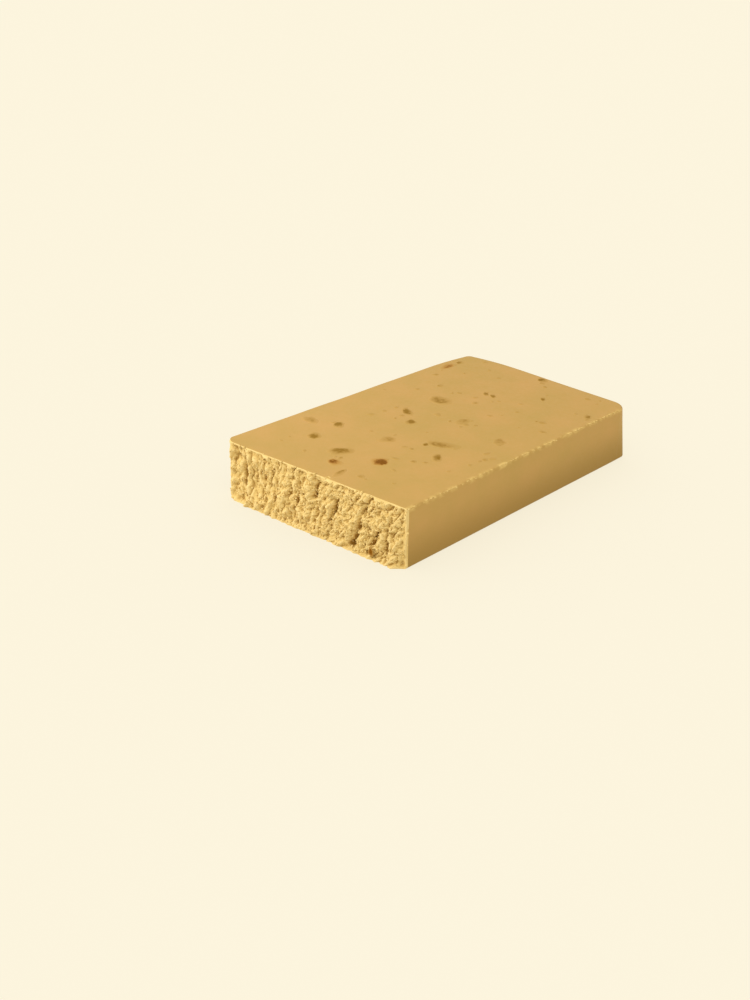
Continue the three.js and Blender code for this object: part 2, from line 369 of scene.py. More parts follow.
class NougatSlabSizes(bpy.types.PropertyGroup):
    """Sizes of the pressed slab."""

    height: length_property("Height", "Thickness of the slab under its almond bits", 21.5)
    side_flare: length_property("Side flare", "How far the foot stands outside the long top edges", 0.1)
    end_flare: length_property("End flare", "How far the foot stands past the far top edge", 1.2)
    edge_radius: length_property("Edge radius", "Rounding of the pressed edges", 0.8)
    tip_radius: length_property("Tip radius", "Radius of the far -X corner, between two worn edges", 2.0)
    side_wear: length_property("Side wear", "How far the -X edge is worn back at that corner", 2.0)
    side_wear_reach: length_property("Side wear reach", "Length of the worn part of that edge", 22.0)
    end_wear: length_property("End wear", "How far the far edge is worn back at that corner", 2.9)
    end_wear_reach: length_property("End wear reach", "Length of the worn part of that edge", 24.0)
    right_corner: length_property("Right corner", "Radius of the far +X corner", 6.0)
    right_spread: length_property("Right spread", "How much fuller the far +X corner is at its foot", 2.0)
    left_length: length_property("Left length", "Top edge from the far end to the break, -X side", 128.4)
    right_length: length_property("Right length", "Top edge from the far end to the break, +X side", 117.4)
    break_lean: length_property("Break lean", "How far the foot of the break stands past its top edge", 2.7)
    upright_reach: length_property("Upright reach", "From the +X edge to where the lean is full", 4.0)
    worn_reach: length_property("Worn reach", "Distance from the -X edge over which the lean weakens", 16.0)
    worn_lean: share_property("Worn lean", "Share of the lean that is left at the -X edge", 0.4)
    break_corner: length_property("Break corner", "Radius of the break's worn -X edge", 5.5)
    lattice_pitch: length_property("Lattice pitch", "Spacing of the points on the smooth faces", 1.6)
    unevenness: length_property("Unevenness", "Height of the gentle waves in the smooth faces", 0.08)


class NougatBreakSizes(bpy.types.PropertyGroup):
    """Sizes of the crumb in the broken end."""

    pitch: length_property("Point pitch", "Spacing of the points on the break", 0.18)
    rim_width: length_property("Rim width", "Smoother band along the top and foot of the break", 0.9)
    side_rim_width: length_property("Side rim width", "Smoother band along its +X edge", 2.6)
    lip_round: length_property("Lip rounding", "Rounding of the break's top edge", 0.4)
    side_round: length_property("Side rounding", "Rounding of the break's +X edge", 0.9)
    foot_relief: share_property("Foot relief", "Share of the crumb that is left along the foot", 0.8)
    tear_lean: share_property("Tear lean", "Slope of the tear at the +X edge, upright at the -X edge", 0.45)
    strand_width: length_property("Strand width", "Width of a torn strand", 2.2)
    strand_length: length_property("Strand length", "Length of a torn strand", 6.0)
    strand_height: length_property("Strand height", "How far a strand stands out", 0.5)
    lump_size: length_property("Lump size", "Width of a lump of crumb", 3.0)
    lump_height: length_property("Lump height", "How far a lump stands out", 0.35)
    tatter_size: length_property("Tatter size", "Width of the ragged tatters between the lumps", 1.7)
    tatter_height: length_property("Tatter height", "How far a tatter stands out", 0.6)
    granule_size: length_property("Granule size", "Width of a granule of crumb", 0.95)
    granule_height: length_property("Granule height", "How far a granule stands out", 0.36)
    grain_size: length_property("Grain size", "Width of a grain of crumb", 0.55)
    grain_height: length_property("Grain height", "How far a grain stands out", 0.2)
    crumb_count: count_property("Crumbs", "Loose crumbs on the break", 1500)
    crumb_least: length_property("Smallest crumb", "Width of the smallest loose crumb", 0.35)
    crumb_most: length_property("Largest crumb", "Width of the largest loose crumb", 1.0)
    burr_count: count_property("Burr crumbs", "Crumbs tried along the +X top edge", 700)
    burr_pitch: length_property("Burr pitch", "Spacing of the points along the +X top edge", 0.55)
    burr_reach: length_property("Burr reach", "How far the +X top edge is worn pale", 0.95)


class NougatColours(bpy.types.PropertyGroup):
    """Colours of the paste and the almonds."""

    pressed: colour_property("Pressed paste", "Smooth faces", "#b09152")
    # Painted shade: the colour that the sides are painted towards at their foot, where the floor beside
    # them lies in shade
    pressed_foot_shade: colour_property("Oily paste", "Foot of the sides, where the oil settles", "#96773d")
    pressed_warm: colour_property("Warm paste", "Warmer patches in the smooth faces", "#ba9459")
    # The tip, plain and deep crumb colours are lit and shaded copies of the broken paste: painted light on
    # standing tips, painted shade in crevices
    painted_lit_tips: colour_property("Crumb tips", "Crumb that stands out of the broken end", "#dbc185")
    broken: colour_property("Broken paste", "Crumb of the broken end", "#d0b26f")
    broken_painted_shade: colour_property("Deep crumb", "Crumb in the crevices", "#97702e")
    flesh: colour_property("Almond", "Toasted almond bits", "#88661f")
    flesh_rim: colour_property("Almond rim", "Toasted almond under a film of paste", "#a07d3c")
    skin: colour_property("Almond skin", "Brown almond skin", "#764800")
    skin_rim: colour_property("Almond skin rim", "Almond skin under a film of paste", "#a87a36")


class NougatStudio(bpy.types.PropertyGroup):
    """Camera, light and floor."""

    azimuth: angle_property("Azimuth", "Turn of the camera about the slab", 46.77)
    elevation: angle_property("Elevation", "Camera's tilt down", 28.47)
    lens: bpy.props.FloatProperty(
        name="Lens", description="Focal length", default=35.1, subtype="DISTANCE_CAMERA"
    )
    camera_right: length_property("Camera to the right", "From the slab's middle", 221.5)
    camera_back: length_property("Camera back", "From the far edge of the slab's top", 301.4)
    camera_height: length_property("Camera height", "Above the floor", 164.9)
    backdrop: colour_property("Backdrop", "Colour of the surroundings", "#fdf5de")
    ambient: share_property("Ambient", "Strength of the surroundings", 1.07)
    table_glow: share_property("Table glow", "Share of the floor's light that comes from below it", 0.8)
    floor_reach: length_property("Floor reach", "From the slab's middle to the floor's edges", 30000)
    key_share: share_property("Key light", "Light of the key, as a share of the surroundings", 0.58)
    key_turn: angle_property("Key turn", "Bearing of the key light, from +X", 236.5)
    key_rise: angle_property("Key rise", "Height of the key light", 32)
    fill_share: share_property("Fill light", "Light of the fill, as a share of the surroundings", 0.07)
    fill_turn: angle_property("Fill turn", "Bearing of the fill light, from +X", -28)
    fill_rise: angle_property("Fill rise", "Height of the fill light", 14)
    lamp_distance: length_property("Lamp distance", "From the slab's middle to either light", 550.0)
    lamp_width: length_property("Lamp width", "Width of either light", 140.0)


def half_width():
    """Half the width of the top face."""
    return (HIGH.x - LOW.x) / 2 - bpy.context.scene.nougat_slab_sizes.side_flare


def far_end():
    """Place of the top face's far edge along Y."""
    sizes = bpy.context.scene.nougat_slab_sizes
    return HIGH.y - sizes.end_flare * (1 - sizes.edge_radius / sizes.height)


def foot_share(z):
    """Share of the flare and the lean that is reached at a height: none at the top, all at the foot."""
    return 1 - z / bpy.context.scene.nougat_slab_sizes.height


def break_plane(x, z):
    """Place of the break along Y before it is made craggy."""
    sizes = bpy.context.scene.nougat_slab_sizes
    from_left = half_width() + x
    length = blend(sizes.left_length, sizes.right_length, from_left / (2 * half_width()))
    lean = sizes.break_lean * smooth_step(half_width() - x, 0, sizes.upright_reach)
    lean *= blend(sizes.worn_lean, 1, smooth_step(from_left, 0, sizes.worn_reach))
    rounding = edge_rounding(from_left, sizes.break_corner)
    return far_end() + rounding - length - lean * foot_share(z)


def new_object(name, bm, materials):
    """Smooth-shaded object at the origin from a bmesh, which is freed."""
    mesh = bpy.data.meshes.new(name)
    bm.to_mesh(mesh)
    bm.free()
    for material in materials:
        mesh.materials.append(material)
    mesh.shade_smooth()
    made = bpy.data.objects.new(name, mesh)
    bpy.context.scene.collection.objects.link(made)
    return made


def add_node(tree, kind, settings=None, inputs=None):
    """Shader node with its properties set and its sockets filled with values or with other sockets."""
    made = tree.nodes.new(kind)
    for name, value in (settings or {}).items():
        setattr(made, name, value)
    for name, value in (inputs or {}).items():
        if isinstance(value, bpy.types.NodeSocket):
            tree.links.new(value, made.inputs[name])
        else:
            made.inputs[name].default_value = value
    return made


def new_material(name):
    """Material with an empty node tree, and that tree."""
    material = bpy.data.materials.new(name)
    material.use_nodes = True
    tree = material.node_tree
    tree.nodes.clear()
    return material, tree


def per_mm(size):
    """Texture scale that makes a feature as wide as the given number of millimetres."""
    return 1 / (size * MM)


def opaque(colour):
    """Colour with a full alpha."""
    return (*colour, 1.0)


def paste_colour(tree, place):
    """Socket with the colour of the pressed paste: cloudy, and painted darker towards the foot as painted
    shade.
    """
    colours = bpy.context.scene.nougat_colours
    clouds = add_node(tree, "ShaderNodeTexNoise", inputs={
        "Vector": place, "Scale": per_mm(CLOUD_SIZE), "Detail": 5.0, "Roughness": 0.6,
    })
    patches = add_node(tree, "ShaderNodeMapRange", inputs={
        "Value": clouds.outputs["Fac"], "From Min": NOISE_LOW, "From Max": NOISE_HIGH,
    })
    paste = add_node(tree, "ShaderNodeMix", {"data_type": "RGBA"}, {
        "Factor": patches.outputs["Result"],
        MIX_FIRST: opaque(colours.pressed), MIX_SECOND: opaque(colours.pressed_warm),
    })
    place_parts = add_node(tree, "ShaderNodeSeparateXYZ", inputs={"Vector": place})
    # Painted shade: the paste is painted darker towards the foot of the slab
    foot_shade = add_node(tree, "ShaderNodeMapRange", {"interpolation_type": "SMOOTHSTEP"}, {
        "Value": place_parts.outputs["Z"],
        "From Min": FOOT_SHADE_FROM * MM, "From Max": FOOT_SHADE_TO * MM, "To Min": 1.0, "To Max": 0.0,
    })
    colour = add_node(tree, "ShaderNodeMix", {"data_type": "RGBA"}, {
        "Factor": foot_shade.outputs["Result"],
        MIX_FIRST: paste.outputs[MIX_BLEND], MIX_SECOND: opaque(colours.pressed_foot_shade),
    })
    return colour.outputs[MIX_BLEND]


def pressed_nougat():
    """Almond paste pressed in a mould: satin with an oil sheen, cloudy, painted darker towards the foot as
    painted shade, with a fine grain in its gloss.
    """
    colours = bpy.context.scene.nougat_colours
    material, tree = new_material("pressed almond paste")
    place = add_node(tree, "ShaderNodeTexCoord").outputs["Object"]
    grain = add_node(tree, "ShaderNodeTexNoise", inputs={
        "Vector": place, "Scale": per_mm(PRESSED_GRAIN), "Detail": 3.0,
    })
    gloss = add_node(tree, "ShaderNodeMapRange", inputs={
        "Value": grain.outputs["Fac"], "From Min": NOISE_LOW, "From Max": NOISE_HIGH,
        "To Min": GLOSSIEST, "To Max": DULLEST,
    })
    bump = add_node(tree, "ShaderNodeBump", inputs={
        "Height": grain.outputs["Fac"], "Strength": 0.3, "Distance": PRESSED_GRAIN_DEPTH * MM,
    })
    worn = add_node(tree, "ShaderNodeAttribute", {"attribute_name": "worn"})
    colour = add_node(tree, "ShaderNodeMix", {"data_type": "RGBA"}, {
        "Factor": worn.outputs["Fac"],
        MIX_FIRST: paste_colour(tree, place), MIX_SECOND: opaque(colours.broken),
    })
    shader = add_node(tree, "ShaderNodeBsdfPrincipled", inputs={
        "Base Color": colour.outputs[MIX_BLEND], "Roughness": gloss.outputs["Result"],
        "IOR": PASTE_IOR, "Specular IOR Level": 0.1, "Normal": bump.outputs["Normal"],
    })
    add_node(tree, "ShaderNodeOutputMaterial", inputs={"Surface": shader.outputs["BSDF"]})
    return material


def broken_nougat():
    """The same paste torn open: dry, matt crumb, painted paler on its tops as painted light and browner in
    its crevices as painted shade.
    """
    colours = bpy.context.scene.nougat_colours
    material, tree = new_material("broken almond paste")
    place = add_node(tree, "ShaderNodeTexCoord").outputs["Object"]
    painted_shade_and_tone = add_node(tree, "ShaderNodeAttribute", {"attribute_name": "painted_shade_and_tone"}).outputs["Fac"]
    # Painted light and shade: standing tips are painted paler and crevices darker, by their depth
    from_painted_lit_tips = add_node(tree, "ShaderNodeMapRange", inputs={"Value": painted_shade_and_tone, "From Max": PLAIN_CRUMB})
    to_painted_shade = add_node(tree, "ShaderNodeMapRange", inputs={"Value": painted_shade_and_tone, "From Min": PLAIN_CRUMB})
    tops = add_node(tree, "ShaderNodeMix", {"data_type": "RGBA"}, {
        "Factor": from_painted_lit_tips.outputs["Result"],
        MIX_FIRST: opaque(colours.painted_lit_tips), MIX_SECOND: opaque(colours.broken),
    })
    colour = add_node(tree, "ShaderNodeMix", {"data_type": "RGBA"}, {
        "Factor": to_painted_shade.outputs["Result"],
        MIX_FIRST: tops.outputs[MIX_BLEND], MIX_SECOND: opaque(colours.broken_painted_shade),
    })
    grain = add_node(tree, "ShaderNodeTexNoise", inputs={
        "Vector": place, "Scale": per_mm(BROKEN_GRAIN), "Detail": 3.0,
    })
    bump = add_node(tree, "ShaderNodeBump", inputs={
        "Height": grain.outputs["Fac"], "Strength": 0.6, "Distance": BROKEN_GRAIN_DEPTH * MM,
    })
    shader = add_node(tree, "ShaderNodeBsdfPrincipled", inputs={
        "Base Color": colour.outputs[MIX_BLEND], "Roughness": 0.85,
        "IOR": PASTE_IOR, "Specular IOR Level": 0.15, "Normal": bump.outputs["Normal"],
    })
    add_node(tree, "ShaderNodeOutputMaterial", inputs={"Surface": shader.outputs["BSDF"]})
    return material


def almond(name, core_colour, rim_colour):
    """Chopped almond under an uneven film of paste, thin over the bit's core and thick at its rim."""
    material, tree = new_material(name)
    place = add_node(tree, "ShaderNodeTexCoord").outputs["Object"]
    bare = add_node(tree, "ShaderNodeAttribute", {"attribute_name": "bare"})
    film = add_node(tree, "ShaderNodeTexNoise", inputs={
        "Vector": place, "Scale": per_mm(FILM_PATCH), "Detail": 2.0,
    })
    thin = add_node(tree, "ShaderNodeMapRange", inputs={
        "Value": film.outputs["Fac"], "From Min": NOISE_LOW, "From Max": NOISE_HIGH,
        "To Min": UNDER_THICK_FILM, "To Max": UNDER_THIN_FILM,
    })
    shown = add_node(tree, "ShaderNodeMath", {"operation": "MULTIPLY"}, {
        0: bare.outputs["Fac"], 1: thin.outputs["Result"],
    }).outputs["Value"]
    to_rim = add_node(tree, "ShaderNodeMapRange", inputs={"Value": shown, "From Max": RIM_FULL})
    to_core = add_node(tree, "ShaderNodeMapRange", inputs={
        "Value": shown, "From Min": CORE_BEGINS, "From Max": CORE_FULL,
    })
    rim = add_node(tree, "ShaderNodeMix", {"data_type": "RGBA"}, {
        "Factor": to_rim.outputs["Result"],
        MIX_FIRST: paste_colour(tree, place), MIX_SECOND: opaque(rim_colour),
    })
    colour = add_node(tree, "ShaderNodeMix", {"data_type": "RGBA"}, {
        "Factor": to_core.outputs["Result"],
        MIX_FIRST: rim.outputs[MIX_BLEND], MIX_SECOND: opaque(core_colour),
    })
    shader = add_node(tree, "ShaderNodeBsdfPrincipled", inputs={
        "Base Color": colour.outputs[MIX_BLEND], "Roughness": 0.55,
        "IOR": PASTE_IOR, "Specular IOR Level": 0.08,
    })
    add_node(tree, "ShaderNodeOutputMaterial", inputs={"Surface": shader.outputs["BSDF"]})
    return material


def light_table():
    """Matt white sheet lit from below, so that the shadow on it is faint."""
    studio = bpy.context.scene.nougat_studio
    material, tree = new_material("light table")
    white = FLOOR_WHITE * (1 - studio.table_glow)
    shader = add_node(tree, "ShaderNodeBsdfPrincipled", inputs={
        "Base Color": opaque((white, white, white)), "Roughness": 1.0, "Specular IOR Level": 0.0,
        "Emission Color": opaque(studio.backdrop),
        "Emission Strength": FLOOR_WHITE * studio.table_glow * studio.ambient,
    })
    add_node(tree, "ShaderNodeOutputMaterial", inputs={"Surface": shader.outputs["BSDF"]})
    return material


def cut_lattice(bm, normal, low, high, pitch, wanted=None):
    """Cut the wanted faces of a bmesh, or all, by parallel planes a pitch apart."""
    count = max(int((high - low) / pitch), 1)
    for i in range(1, count):
        place = Vector(normal) * (low + (high - low) * i / count)
        faces = [f for f in bm.faces if wanted is None or wanted(f)]
        edges = {e for f in faces for e in f.edges}
        corners = {v for f in faces for v in f.verts}
        bmesh.ops.bisect_plane(
            bm, geom=[*corners, *edges, *faces], dist=1e-7, plane_co=place, plane_no=normal
        )


def round_edges(bm, edges, radius, facets):
    """Round edges to a radius."""
    bmesh.ops.bevel(
        bm, geom=edges, offset=radius, offset_type="OFFSET", segments=facets, profile=0.5,
        affect="EDGES", material=-1, clamp_overlap=False,
    )


def to_arris(place):
    """Distance of a place from the line where the top and the +X side would meet."""
    sizes = bpy.context.scene.nougat_slab_sizes
    return math.hypot(half_width() - place.x, sizes.height - place.z)


def on_arris(face):
    """Whether a face of the pressed block is part of its rounded +X top edge."""
    return to_arris(face.calc_center_median()) < bpy.context.scene.nougat_break_sizes.burr_reach


def waves(across, along, width, length, pattern):
    """Smooth noise between about -1 and 1, in patches of a width and a length."""
    return noise.noise(Vector((across / width, along / length, LAYERS[pattern])))


def arris_wear(place):
    """Share of pale crumb that shows where the +X top edge is worn: patches with ragged ends."""
    patches = waves(0, place.y, MM, WORN_STRETCH * MM, "worn stretches")
    patches += NICK_WEIGHT * waves(0, place.y, MM, WORN_NICK * MM, "worn nicks")
    ragged = waves(place.x, place.y, WORN_MARK_WIDTH * MM, WORN_MARK_LENGTH * MM, "worn marks")
    reach = bpy.context.scene.nougat_break_sizes.burr_reach * (REACH_MIDDLE + REACH_CHANGE * patches)
    near = 1 - smooth_step(to_arris(place), *(share * reach for share in REACH_FADE))
    return near * smooth_step(WEAR_MIDDLE + WEAR_BY_STRETCH * patches + WEAR_BY_MARK * ragged, *WEAR_RANGE)


def pressed_block():
    """Smooth slab before it is broken, longer than the slab by a spare length."""
    sizes = bpy.context.scene.nougat_slab_sizes
    crumb = bpy.context.scene.nougat_break_sizes
    half = half_width()
    far = far_end()
    near = far - sizes.left_length - SPARE_LENGTH * MM
    bm = bmesh.new()
    bmesh.ops.create_cube(bm, size=1.0)
    bmesh.ops.translate(bm, vec=(0, -0.5, 0.5), verts=bm.verts)
    bmesh.ops.scale(bm, vec=(2 * half, far - near, sizes.height), verts=bm.verts)
    bmesh.ops.translate(bm, vec=(0, far, 0), verts=bm.verts)

    def at_far_corner(v, side):
        return side * v.co.x > 0 and v.co.y > far - MM

    def far_upright(side):
        return [e for e in bm.edges if all(at_far_corner(v, side) for v in e.verts)]

    round_edges(bm, far_upright(-1), sizes.tip_radius, TIP_FACETS)
    round_edges(bm, far_upright(1), sizes.right_corner, CORNER_FACETS)
    level = [e for e in bm.edges if abs(e.verts[0].co.z - e.verts[1].co.z) < MM]
    round_edges(bm, level, sizes.edge_radius, EDGE_FACETS)
    cut_lattice(bm, (0, 1, 0), near, far, sizes.lattice_pitch)
    cut_lattice(bm, (1, 0, 0), -half, half, sizes.lattice_pitch)
    cut_lattice(bm, (0, 0, 1), 0, sizes.height, sizes.lattice_pitch)
    cut_lattice(bm, (0, 1, 0), near, far - sizes.right_corner, crumb.burr_pitch, on_arris)
    for v in bm.verts:
        share = foot_share(v.co.z)
        into_x = max(0.0, 1 + (v.co.x - half) / sizes.right_corner)
        into_y = max(0.0, 1 + (v.co.y - far) / sizes.right_corner)
        # Full in the middle of the corner's rounding, where both shares are the root of a half
        fuller = sizes.right_spread * math.sqrt(0.5) * (2 * into_x * into_y) ** 3
        along_side = max(0.0, 1 - (far - v.co.y) / (sizes.side_wear_reach + sizes.end_wear))
        along_end = max(0.0, 1 - (half + v.co.x) / (sizes.end_wear_reach + sizes.side_wear))
        wave = sizes.unevenness * noise.noise(v.co / (WAVE_LENGTH * MM))
        wave *= smooth_step(v.co.z, 0, WAVE_FOOT * MM)
        v.co.x += share * fuller + (share * sizes.side_flare + wave) * v.co.x / half
        v.co.x += sizes.side_wear * along_side**2 * along_end
        v.co.y += share * (fuller + sizes.end_flare) - sizes.end_wear * along_end**2 * along_side
        v.co.z += wave * v.co.z / sizes.height
    return bm


def domes(x, z, size, pattern):
    """Rounded grains side by side, uneven in size: up to 1 on their tops, 0 in the creases."""
    nearest = noise.voronoi(Vector((x / size, z / size, LAYERS[pattern])))[0][0]
    return math.sqrt(max(0.0, 1 - (nearest / DOME_REACH) ** 2))


def crumb_relief(x, z):
    """How far torn strands, lumps, tatters and grains take a point outwards, coarser towards +X."""
    crumb = bpy.context.scene.nougat_break_sizes
    across = BEND_REACH * MM * waves(x, z, BEND_SIZE * MM, BEND_SIZE * MM, "bend across")
    up = BEND_REACH * MM * waves(x, z, BEND_SIZE * MM, BEND_SIZE * MM, "bend up")
    x += across
    z += up
    leant = x - crumb.tear_lean * smooth_step(x, LOW.x, HIGH.x) * z
    strands = STRAND_GAIN * abs(waves(leant, z, crumb.strand_width, crumb.strand_length, "strands"))
    lumps = domes(leant, z / LUMP_STRETCH, crumb.lump_size, "lumps") - DOME_LEVEL
    tatter_length = TATTER_STRETCH * crumb.tatter_size
    tatter = Vector((leant / crumb.tatter_size, z / tatter_length, LAYERS["tatters"]))
    tatters = noise.fractal(tatter, TATTER_FALL, TATTER_STEP, TATTER_OCTAVES)
    granules = domes(leant, z / GRANULE_STRETCH, crumb.granule_size, "granules") - DOME_LEVEL
    grains = domes(x, z, crumb.grain_size, "grains") - DOME_LEVEL
    coarse = smooth_step(x, LOW.x + COARSE_FROM * MM, LOW.x + COARSE_TO * MM)
    lively = blend(LEFT_LIVELINESS, 1, coarse)
    lively += PATCH_LIVELINESS * waves(x, z, LIVELY_SIZE * MM, LIVELY_SIZE * MM, "liveliness")
    broad = blend(LEFT_STRANDS, 1, coarse) * crumb.strand_height * (strands - STRAND_LEVEL)
    broad += crumb.lump_height * lumps
    ragged = blend(LEFT_TATTERS, 1, coarse) * crumb.tatter_height * tatters
    return broad + ragged + lively * (crumb.granule_height * granules + crumb.grain_height * grains)


def smooth_depth(bm, rounds):
    """Even out the depth of a bmesh along Y."""
    for _ in range(rounds):
        bmesh.ops.smooth_vert(
            bm, verts=bm.verts, factor=0.5, use_axis_x=False, use_axis_y=True, use_axis_z=False
        )


def broken_face():
    """Sheet with the shape of the broken face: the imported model's crags with finer crumb on them."""
    sizes = bpy.context.scene.nougat_slab_sizes
    crumb = bpy.context.scene.nougat_break_sizes
    width = HIGH.x - LOW.x + 2 * SHEET_MARGIN * MM
    tall = sizes.height + 2 * SHEET_MARGIN * MM
    crags = BVHTree.FromObject(frame["nodes"][SLAB_NODE], bpy.context.evaluated_depsgraph_get())
    bm = bmesh.new()
    bmesh.ops.create_grid(
        bm, x_segments=round(width / crumb.pitch), y_segments=round(tall / crumb.pitch), size=0.5,
        matrix=Matrix.Translation((0, 0, sizes.height / 2)) @ Matrix.Rotation(math.pi / 2, 4, "X")
        @ Matrix.Diagonal((width, tall, 1, 1)),
    )
    start = LOW.y - RAY_START * MM
    for v in bm.verts:
        plane = break_plane(v.co.x, v.co.z)
        hit = crags.ray_cast(Vector((v.co.x, start, v.co.z)), INTO_BREAK)[0]
        v.co.y = hit.y if hit and abs(hit.y - plane) < FARTHEST_CRAG * MM else plane
    smooth_depth(bm, CRAG_ROUNDS)
    for v in bm.verts:
        x, z = v.co.x, v.co.z
        ragged = 1 + RIM_UNEVENNESS * noise.noise(Vector((x, 0, z)) / (RIM_WAVE * MM))
        half = half_width() + sizes.side_flare * foot_share(z)
        share = smooth_step(half + x, 0, ragged * CORNER_RIM * sizes.break_corner)
        share *= smooth_step(half - x, BARE_SIDE_RIM * crumb.side_rim_width, ragged * crumb.side_rim_width)
        share *= smooth_step(sizes.height - z, 0, ragged * crumb.rim_width)
        share *= blend(crumb.foot_relief, 1, smooth_step(z, 0, FOOT_RIM * crumb.rim_width))
        worn = edge_rounding(sizes.height - z, crumb.lip_round) + edge_rounding(half - x, crumb.side_round)
        v.co.y += worn - share * crumb_relief(x, z)
    return bm


def mark_painted_shade(bm):
    """Give each point of the broken face its share of painted crevice shade, from its depth."""
    layer = bm.verts.layers.float.new("painted_shade_and_tone")
    even = bm.copy()
    smooth_depth(even, CREVICE_ROUNDS)
    even.verts.ensure_lookup_table()
    near_low, near_high = (depth * MM for depth in NEIGHBOUR_RANGE)
    plane_low, plane_high = (depth * MM for depth in PLANE_RANGE)
    for v in bm.verts:
        below_neighbours = smooth_step(v.co.y - even.verts[v.index].co.y, near_low, near_high)
        below_plane = smooth_step(v.co.y - break_plane(v.co.x, v.co.z), plane_low, plane_high)
        v[layer] = NEIGHBOUR_WEIGHT * below_neighbours + PLANE_WEIGHT * below_plane
    even.free()


def close_behind(bm, back):
    """Close a sheet into a block whose back is a plane across Y."""
    rim = [e for e in bm.edges if e.is_boundary]
    walls = bmesh.ops.extrude_edge_only(bm, edges=rim)["geom"]
    for v in walls:
        if isinstance(v, bmesh.types.BMVert):
            v.co.y = back
    bmesh.ops.contextual_create(bm, geom=[e for e in bm.edges if e.is_boundary])
    bmesh.ops.recalc_face_normals(bm, faces=bm.faces)


def lens_bit(bm, layer, place, length, width, rise, strength, seed):
    """Low uneven lens with its rim in the face that it is set in, barest at a spot off its middle."""
    made = bmesh.ops.create_uvsphere(bm, u_segments=20, v_segments=12, radius=1.0)["verts"]
    bare_spot = Vector((BARE_SPOT_OFFSET * math.cos(seed), BARE_SPOT_OFFSET * math.sin(seed)))
    for v in made:
        from_rim = 1 - math.hypot(v.co.x, v.co.y)
        from_spot = (v.co.xy - bare_spot).length
        shown = BARE_SPOT_STRENGTH - BARE_SPOT_LOSS * smooth_step(from_spot, *BARE_SPOT_FADE)
        shown *= smooth_step(from_rim, *RIM_FADE)
        v[layer] = strength * shown if v.co.z > HIDDEN_UNDER else 0.0
        broad = noise.noise(Vector((BIT_BROAD_WAVES * v.co.x, BIT_BROAD_WAVES * v.co.y, seed)))
        fine = noise.noise(Vector((BIT_FINE_WAVES * v.co.x, BIT_FINE_WAVES * v.co.y, seed)))
        swell = BIT_SWELL + BIT_UNEVENNESS * (broad + BIT_FINE_WEIGHT * fine)
        v.co = Vector((v.co.x * swell * length / 2, v.co.y * swell * width / 2, v.co.z * rise))
    bmesh.ops.transform(bm, matrix=place, verts=made)


def crumb_bit(bm, layer, draw, place, widths, tone):
    """Angular crumb of the given widths and tone, a share of the painted crevice shade, turned at random.
    """
    made = bmesh.ops.create_icosphere(bm, subdivisions=1, radius=0.5)["verts"]
    for v in made:
        v.co *= draw.uniform(*CRUMB_CORNERS)
        v[layer] = tone
    turn = draw.uniform(0, math.tau)
    axis = Vector((draw.random(), draw.random(), draw.random() + LEAST_AXIS))
    spin = Matrix.Rotation(turn, 4, axis)
    bmesh.ops.transform(bm, matrix=place @ Matrix.Diagonal((*widths, 1)) @ spin, verts=made)


class NOUGAT_OT_slab(bpy.types.Operator):
    """Build the pressed slab and break its near end"""

    bl_idname = "nougat.slab"
    bl_label = "Nougat slab"

    def execute(self, context):
        skin = pressed_nougat()
        crumb = broken_nougat()
        slab = new_object("nougat_paste", pressed_block(), [skin])
        sheet = broken_face()
        mark_painted_shade(sheet)
        shares, nearest = self.painted_shade_places(sheet)
        close_behind(sheet, LOW.y - CUTTER_REACH * MM)
        cutter = new_object("break_cutter", sheet, [crumb])
        whole = self.cut(context, slab, cutter)
        # Painted shade and light on the broken face: each of its points takes the share of its nearest
        # point in the sheet
        painted_shade_and_tone = whole.attributes.new("painted_shade_and_tone", "FLOAT", "POINT")
        broken = {index for p in whole.polygons if p.material_index for index in p.vertices}
        for index in broken:
            painted_shade_and_tone.data[index].value = shares[nearest.find(whole.vertices[index].co)[1]]
        worn = whole.attributes.new("worn", "FLOAT", "POINT")
        for v in whole.vertices:
            worn.data[v.index].value = arris_wear(v.co)
        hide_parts(SLAB_NODE)
        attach(slab, BODY)
        return {"FINISHED"}

    def painted_shade_places(self, sheet):
        """Shares of painted crevice shade of the sheet's points, and a tree to find the nearest point by.
        """
        layer = sheet.verts.layers.float["painted_shade_and_tone"]
        tree = kdtree.KDTree(len(sheet.verts))
        for v in sheet.verts:
            tree.insert(v.co, v.index)
        tree.balance()
        return [v[layer] for v in sheet.verts], tree

    def cut(self, context, slab, cutter):
        """Take the cutter off the slab, keep the edges crisp where it broke, and return its mesh."""
        cut = slab.modifiers.new("broken end", "BOOLEAN")
        cut.operation = "DIFFERENCE"
        cut.solver = "MANIFOLD"
        cut.material_mode = "TRANSFER"
        cut.object = cutter
        whole = bpy.data.meshes.new_from_object(slab.evaluated_get(context.evaluated_depsgraph_get()))
        slab.modifiers.clear()
        slab.data = whole
        whole.name = "nougat_paste"
        bpy.data.objects.remove(cutter)
        if not whole.polygons:
            raise RuntimeError("the broken end left no slab")
        bm = bmesh.new()
        bm.from_mesh(whole)
        for e in bm.edges:
            same = len({f.material_index for f in e.link_faces}) == 1
            e.smooth = same or e.calc_face_angle(0) < CRISP_ANGLE
        bm.to_mesh(whole)
        bm.free()
        return whole


